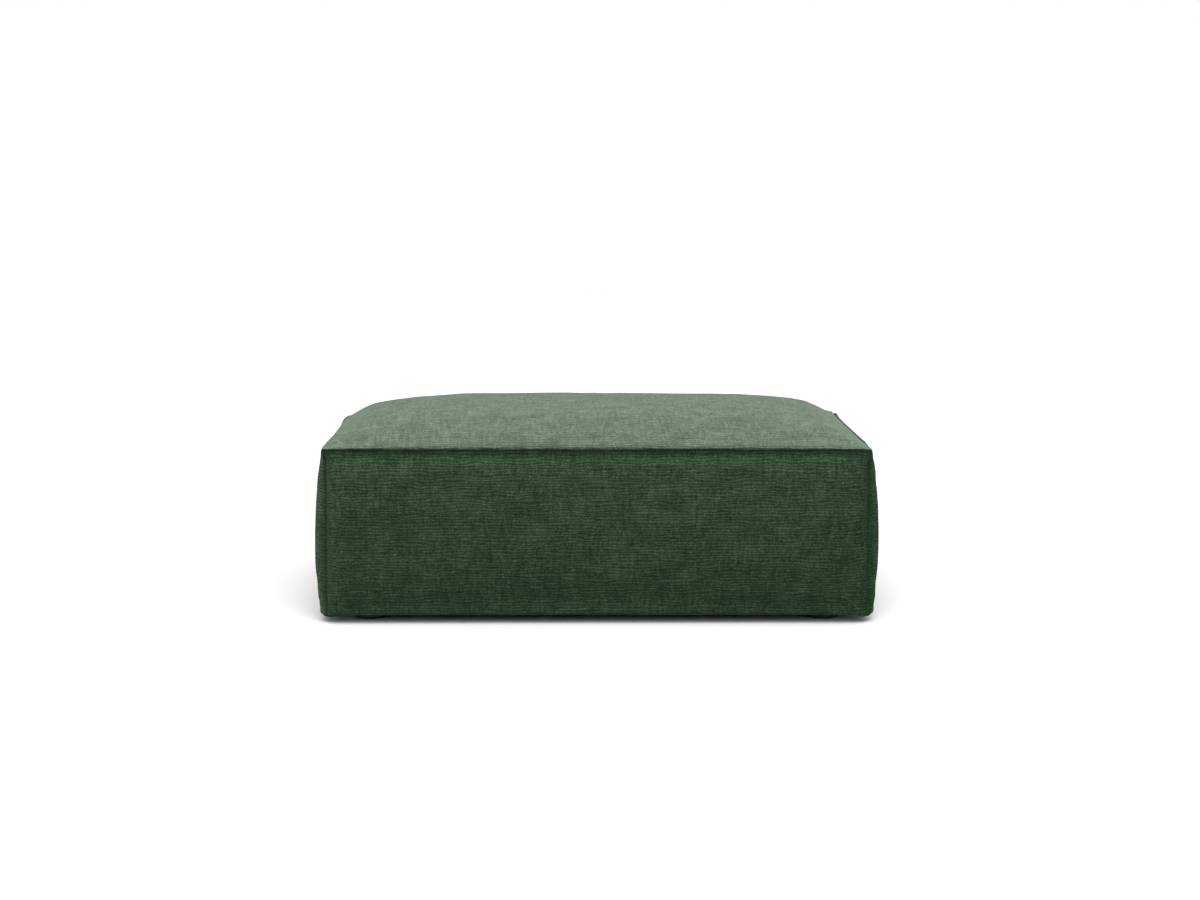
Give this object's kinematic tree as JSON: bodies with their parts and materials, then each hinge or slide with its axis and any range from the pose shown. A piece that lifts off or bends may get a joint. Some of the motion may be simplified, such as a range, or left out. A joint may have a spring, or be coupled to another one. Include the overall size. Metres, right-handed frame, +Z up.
{
  "type": "upholstered pouf",
  "caption": "Low rectangular upholstered pouf with a crowned seat panel, padded side panels drawn in at the seams, and low round feet.",
  "frame": {"origin": "on the floor, under the middle of the pouf", "axes": "+X to the right along the long side, +Y to the back, +Z up; the front panel faces -Y"},
  "size_m": [1.088, 0.808, 0.4],
  "materials": {
    "upholstery": "dark green chenille weave with a soft sheen",
    "base_cloth": "plain black non-woven cloth",
    "feet": "black moulded plastic"
  },
  "bodies": {
    "root": {"top_panel": "upholstery", "front_panel": "upholstery", "back_panel": "upholstery", "left_panel": "upholstery", "right_panel": "upholstery", "base_cloth": "base_cloth", "foot_front_left": "feet", "foot_front_right": "feet", "foot_back_left": "feet", "foot_back_right": "feet"}
  },
  "joints": []
}
